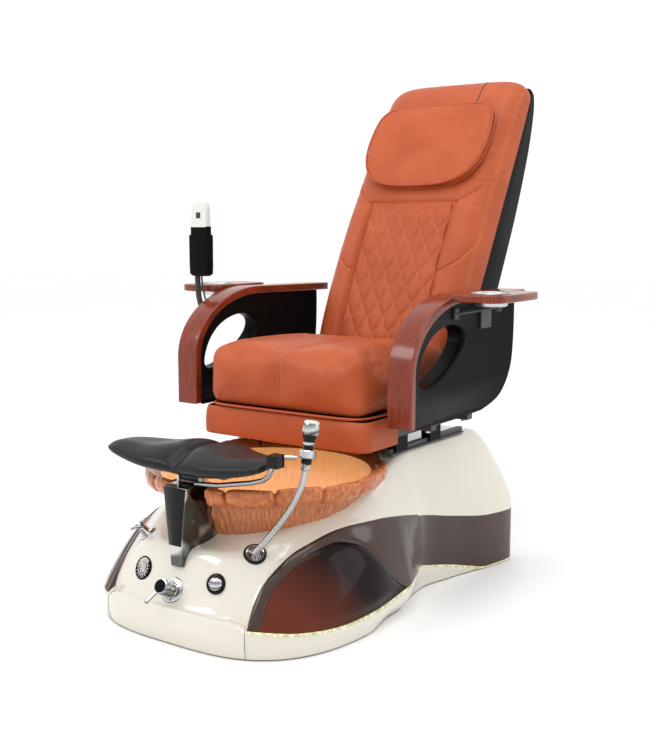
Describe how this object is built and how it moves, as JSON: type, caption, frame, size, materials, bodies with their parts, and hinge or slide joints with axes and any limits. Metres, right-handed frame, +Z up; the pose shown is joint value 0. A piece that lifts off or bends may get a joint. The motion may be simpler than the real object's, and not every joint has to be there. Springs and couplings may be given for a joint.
{
  "type": "pedicure spa chair",
  "caption": "Reclining massage seat with bentwood arms, sliding on a moulded base with a foot basin, foot rest, hand shower and swivel trays.",
  "frame": {"origin": "on the floor under the middle levelling foot of the base", "axes": "+Z up, the sitter faces -Y, +X is the sitter's left hand"},
  "size_m": [1.066, 1.505, 1.4195],
  "materials": {
    "cream_shell": "pearl gloss",
    "burgundy_panel": "metallic gloss",
    "tan_leather": "semi-gloss grained",
    "black_leather": "satin",
    "black_plastic": "fine texture",
    "red_wood": "gloss lacquer",
    "chrome_metal": "mirror",
    "brushed_metal": "brushed",
    "painted_frame": "powder coat",
    "amber_glass": "fluted",
    "black_rubber": "matte",
    "clear_strip": "translucent",
    "white_plastic": "gloss",
    "rail_steel": "satin black"
  },
  "bodies": {
    "base": {"base_shell": "cream_shell", "side_panel_left": "burgundy_panel", "side_panel_right": "burgundy_panel", "light_strips": "clear_strip", "base_frame": "painted_frame", "levelling_feet": "black_rubber", "bowl": "amber_glass", "bowl_drain": "chrome_metal", "jet_motor": "white_plastic", "drain_pump": "black_plastic", "control_box": "white_plastic", "vent_grille": "black_plastic", "mixer_body": "chrome_metal", "tap_body": "chrome_metal", "button_bezel": "black_plastic", "hose_grommet": "black_plastic", "pedestal": "chrome_metal", "pedestal_front": "black_plastic", "handset_holder": "chrome_metal", "shower_hose": "chrome_metal", "hose_tail": "chrome_metal", "slide_rails": "rail_steel", "actuator_tube": "painted_frame"},
    "seat": {"seat_frame": "painted_frame", "slide_shoes": "black_plastic", "actuator_rod": "brushed_metal", "recline_drive": "painted_frame", "seat_pan": "black_plastic", "seat_cushion": "tan_leather", "seat_skirt": "tan_leather", "arm_wood_left": "red_wood", "arm_wood_right": "red_wood", "arm_panel_left": "black_plastic", "arm_panel_right": "black_plastic", "arm_bolts": "brushed_metal", "tray_brackets": "painted_frame", "remote_holder": "black_plastic", "remote_stalk": "black_plastic", "remote_cord": "black_rubber"},
    "back": {"back_cushion": "tan_leather", "back_shell": "black_plastic", "back_frame": "painted_frame", "massage_rails": "brushed_metal"},
    "pillow": {"head_pillow": "tan_leather"},
    "screw": {"massage_screw": "brushed_metal"},
    "roller_carriage": {"massage_carriage": "black_plastic"},
    "rollers": {"massage_rollers": "black_rubber"},
    "footrest": {"footrest_bracket": "painted_frame", "footrest_pad": "black_leather"},
    "shower": {"handset": "chrome_metal"},
    "mixer": {"mixer_handle": "chrome_metal"},
    "tap": {"tap_handle": "chrome_metal"},
    "button": {"jet_button": "chrome_metal"},
    "impeller": {"jet_impeller": "white_plastic"},
    "tray_l": {"tray_left": "red_wood", "cup_ring_left": "brushed_metal"},
    "tray_r": {"tray_right": "red_wood", "cup_ring_right": "brushed_metal"},
    "remote_unit": {"remote": "white_plastic"},
    "key": {"remote_key": "black_rubber"}
  },
  "joints": [
    {"name": "seat_slide", "type": "slide", "parent": "base", "child": "seat", "axis": [0, 1, 0], "range_m": [-0.05, 0.11]},
    {"name": "recline", "type": "hinge", "parent": "seat", "child": "back", "pos_m": [0, 0.395, 0.56], "axis": [-1, 0, 0], "range_deg": [-10, 25]},
    {"name": "pillow_flip", "type": "hinge", "parent": "back", "child": "pillow", "pos_m": [0, 0.74995, 1.33079], "axis": [-1, 0, 0], "range_deg": [0, 110]},
    {"name": "massage_travel", "type": "slide", "parent": "back", "child": "roller_carriage", "axis": [0, 0.5, 0.866], "range_m": [-0.25, 0.25]},
    {"name": "massage_screw_turn", "type": "hinge", "parent": "back", "child": "screw", "pos_m": [0, 0.68062, 0.91471], "axis": [0, 0.5, 0.866], "range_deg": [-2260, 2260]},
    {"name": "roller_turn", "type": "hinge", "parent": "roller_carriage", "child": "rollers", "pos_m": [0, 0.65464, 0.92971], "axis": [1, 0, 0], "continuous": true},
    {"name": "footrest_tilt", "type": "hinge", "parent": "base", "child": "footrest", "pos_m": [0, -0.445, 0.376], "axis": [1, 0, 0], "range_deg": [-10, 10]},
    {"name": "shower_lift", "type": "slide", "parent": "base", "child": "shower", "axis": [0, 0.2419, 0.9703], "range_m": [0, 0.1]},
    {"name": "mixer_turn", "type": "hinge", "parent": "base", "child": "mixer", "pos_m": [0, -0.52, 0.1518], "axis": [0, -0.848, 0.5299], "range_deg": [-45, 45]},
    {"name": "tap_turn", "type": "hinge", "parent": "base", "child": "tap", "pos_m": [-0.165, -0.43, 0.21471], "axis": [0, -0.342, 0.9397], "range_deg": [0, 90]},
    {"name": "button_press", "type": "slide", "parent": "base", "child": "button", "axis": [0, 0.6691, -0.7431], "range_m": [0, 0.003], "stiffness_N_per_m": 400, "springref_m": -0.003},
    {"name": "impeller_spin", "type": "hinge", "parent": "base", "child": "impeller", "pos_m": [-0.092, -0.163, 0.11], "axis": [0, 0, 1], "continuous": true},
    {"name": "tray_left_swivel", "type": "hinge", "parent": "seat", "child": "tray_l", "pos_m": [0.405, 0.325, 0.78], "axis": [0, 0, 1], "range_deg": [0, 95]},
    {"name": "tray_right_swivel", "type": "hinge", "parent": "seat", "child": "tray_r", "pos_m": [-0.405, 0.325, 0.78], "axis": [0, 0, -1], "range_deg": [0, 95]},
    {"name": "remote_lift", "type": "slide", "parent": "seat", "child": "remote_unit", "axis": [0, 0, 1], "range_m": [0, 0.11]},
    {"name": "remote_key_press", "type": "slide", "parent": "remote_unit", "child": "key", "axis": [0, 1, 0], "range_m": [0, 0.0008], "stiffness_N_per_m": 400, "springref_m": -0.002}
  ],
  "couplings": [
    {"joint": "massage_screw_turn", "follows": "massage_travel", "rad_per_m": 157.08}
  ]
}
